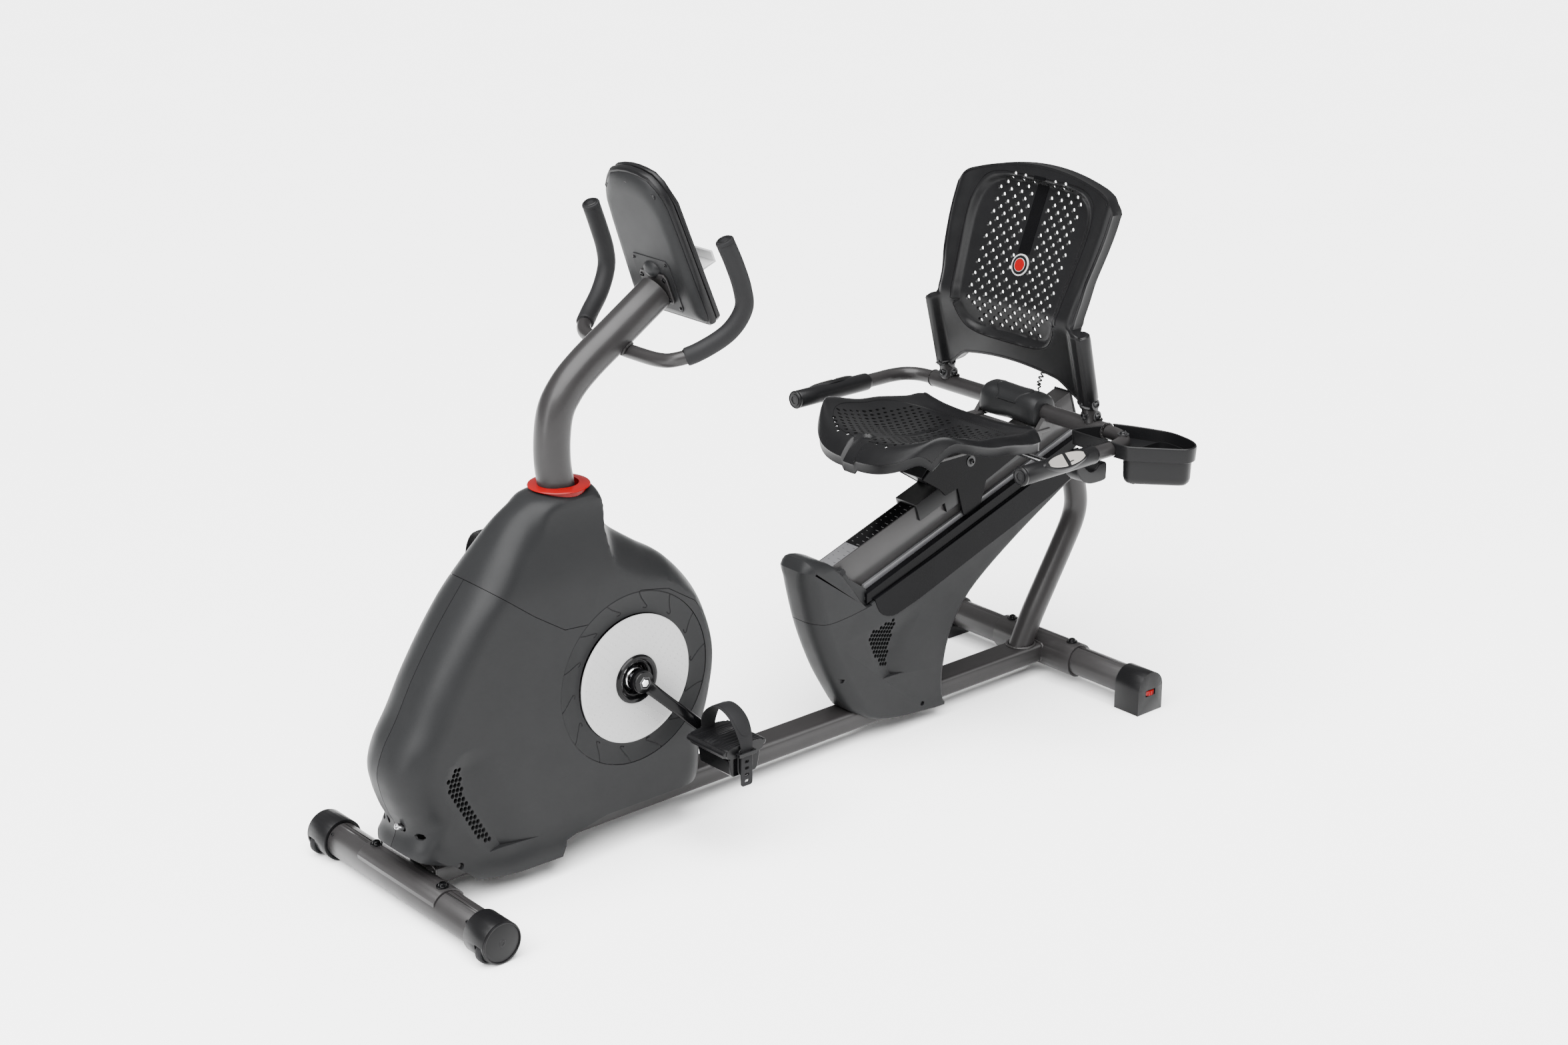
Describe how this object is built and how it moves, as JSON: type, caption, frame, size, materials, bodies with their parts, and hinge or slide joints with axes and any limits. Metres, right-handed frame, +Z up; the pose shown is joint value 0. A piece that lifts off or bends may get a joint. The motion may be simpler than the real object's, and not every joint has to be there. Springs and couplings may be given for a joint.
{
  "type": "exercise bike",
  "caption": "Recumbent exercise bike: step-through frame, front drive cover with cranks and pedals, console on a bent mast, and a sliding seat with backrest, side handles and tray.",
  "frame": {"origin": "on the floor under the middle of the bike's bounding box", "axes": "+X from the console towards the backrest, +Y to the rider's right, +Z up"},
  "size_m": [1.72, 0.7776, 1.213],
  "materials": {
    "charcoal_paint": "semi-gloss charcoal powder coat with a slight metallic warmth",
    "charcoal_plastic": "satin moulded plastic with a fine grain",
    "black_plastic": "satin black moulded plastic",
    "red_plastic": "gloss red moulded plastic",
    "silver_plastic": "satin silver-grey plastic with raised dots",
    "strip_aluminium": "satin light-grey aluminium edge",
    "black_steel": "gloss black oxide steel",
    "bright_steel": "turned bare steel",
    "cast_iron": "machined cast iron",
    "black_rubber": "soft black foam rubber",
    "screen_glass": "dark liquid crystal window"
  },
  "bodies": {
    "frame": {"main_beam": "charcoal_paint", "front_stabilizer": "charcoal_paint", "front_caps": "black_plastic", "rear_stabilizer": "charcoal_paint", "rear_feet": "black_plastic", "seat_support_tube": "charcoal_paint", "seat_rail": "charcoal_paint", "rail_strips": "strip_aluminium", "rail_shroud_left": "charcoal_plastic", "rail_shroud_right": "charcoal_plastic", "drive_frame": "charcoal_paint", "mast": "charcoal_paint", "mast_collar": "red_plastic", "handlebar": "charcoal_paint", "handlebar_grips": "black_rubber", "console_back": "charcoal_plastic", "console_bezel": "black_plastic", "console_screen": "screen_glass", "media_shelf": "silver_plastic", "shroud_left": "charcoal_plastic", "shroud_right": "charcoal_plastic", "shroud_top": "charcoal_plastic", "shroud_discs": "silver_plastic", "shaft_bearings": "bright_steel", "drive_belt": "black_rubber", "idler_arm": "black_steel", "brake_servo": "black_plastic", "dc_jack": "bright_steel", "frame_fasteners": "black_steel"},
    "crank": {"crank_axle": "bright_steel", "drive_pulley": "black_plastic", "crank_arm_left": "black_steel", "crank_arm_right": "black_steel"},
    "pedal_left": {"pedal_left": "black_plastic", "pedal_strap_left": "black_plastic"},
    "pedal_right": {"pedal_right": "black_plastic", "pedal_strap_right": "black_plastic"},
    "flywheel": {"flywheel": "cast_iron", "flywheel_axle": "bright_steel"},
    "idler_pulley": {"idler_pulley": "black_plastic"},
    "brake_arm": {"brake_arm": "bright_steel"},
    "transport_wheel_left": {"transport_wheel_left": "black_plastic"},
    "transport_wheel_right": {"transport_wheel_right": "black_plastic"},
    "leveler_wheel_left": {"leveler_wheel_left": "red_plastic"},
    "leveler_wheel_right": {"leveler_wheel_right": "red_plastic"},
    "leveler_pad_left": {"leveler_pad_left": "black_rubber"},
    "leveler_pad_right": {"leveler_pad_right": "black_rubber"},
    "key_select": {"key_select": "silver_plastic"},
    "key_up": {"key_up": "silver_plastic"},
    "key_down": {"key_down": "silver_plastic"},
    "seat": {"seat_carriage": "black_plastic", "seat_frame": "charcoal_paint", "seat_tube_cover": "charcoal_plastic", "seat_pan": "black_plastic", "side_grips": "black_rubber", "backrest_shell": "black_plastic", "backrest_panel": "black_plastic", "accessory_tray": "black_plastic", "sensor_cable": "black_rubber"},
    "seat_lever": {"seat_lever": "black_steel"}
  },
  "joints": [
    {"name": "crank_spin", "type": "hinge", "parent": "frame", "child": "crank", "pos_m": [-0.3775, 0.0515, 0.323], "axis": [0, -1, 0], "continuous": true},
    {"name": "pedal_left_spin", "type": "hinge", "parent": "crank", "child": "pedal_left", "pos_m": [-0.26083, -0.1365, 0.20633], "axis": [0, -1, 0], "continuous": true},
    {"name": "pedal_right_spin", "type": "hinge", "parent": "crank", "child": "pedal_right", "pos_m": [-0.49417, 0.2395, 0.43967], "axis": [0, -1, 0], "continuous": true},
    {"name": "flywheel_spin", "type": "hinge", "parent": "frame", "child": "flywheel", "pos_m": [-0.6585, 0.0515, 0.265], "axis": [0, -1, 0], "continuous": true},
    {"name": "idler_spin", "type": "hinge", "parent": "frame", "child": "idler_pulley", "pos_m": [-0.5235, 0.1035, 0.41254], "axis": [0, -1, 0], "continuous": true},
    {"name": "brake_swing", "type": "hinge", "parent": "frame", "child": "brake_arm", "pos_m": [-0.6405, 0.0515, 0.115], "axis": [0, -1, 0], "range_deg": [0, 3]},
    {"name": "transport_wheel_left_spin", "type": "hinge", "parent": "frame", "child": "transport_wheel_left", "pos_m": [-0.8285, -0.2055, 0.024], "axis": [0, -1, 0], "continuous": true},
    {"name": "transport_wheel_right_spin", "type": "hinge", "parent": "frame", "child": "transport_wheel_right", "pos_m": [-0.8285, 0.3085, 0.024], "axis": [0, -1, 0], "continuous": true},
    {"name": "leveler_wheel_left_turn", "type": "hinge", "parent": "frame", "child": "leveler_wheel_left", "pos_m": [0.7485, -0.2345, 0.042], "axis": [0, 0, 1], "range_deg": [0, 1440]},
    {"name": "leveler_wheel_right_turn", "type": "hinge", "parent": "frame", "child": "leveler_wheel_right", "pos_m": [0.7485, 0.3375, 0.042], "axis": [0, 0, 1], "range_deg": [0, 1440]},
    {"name": "leveler_pad_left_drop", "type": "slide", "parent": "frame", "child": "leveler_pad_left", "axis": [0, 0, -1], "range_m": [0, 0.008]},
    {"name": "leveler_pad_right_drop", "type": "slide", "parent": "frame", "child": "leveler_pad_right", "axis": [0, 0, -1], "range_m": [0, 0.008]},
    {"name": "key_select_press", "type": "slide", "parent": "frame", "child": "key_select", "axis": [-0.9354, 0, -0.3535], "range_m": [0, 0.0015], "stiffness_N_per_m": 400},
    {"name": "key_up_press", "type": "slide", "parent": "frame", "child": "key_up", "axis": [-0.9354, 0, -0.3535], "range_m": [0, 0.0015], "stiffness_N_per_m": 400},
    {"name": "key_down_press", "type": "slide", "parent": "frame", "child": "key_down", "axis": [-0.9354, 0, -0.3535], "range_m": [0, 0.0015], "stiffness_N_per_m": 400},
    {"name": "seat_slide", "type": "slide", "parent": "frame", "child": "seat", "axis": [0.9478, 0, 0.319], "range_m": [-0.2, 0.03]},
    {"name": "seat_lever_lift", "type": "hinge", "parent": "seat", "child": "seat_lever", "pos_m": [0.5435, 0.0515, 0.546], "axis": [0, -1, 0], "range_deg": [0, 20], "stiffness_Nm_per_rad": 1.5, "springref_deg": -5.73}
  ],
  "couplings": [
    {"joint": "flywheel_spin", "follows": "crank_spin", "ratio": 5.6818},
    {"joint": "idler_spin", "follows": "crank_spin", "ratio": -5},
    {"joint": "leveler_pad_left_drop", "follows": "leveler_wheel_left_turn", "m_per_rad": 0.00031828},
    {"joint": "leveler_pad_right_drop", "follows": "leveler_wheel_right_turn", "m_per_rad": 0.00031828}
  ]
}
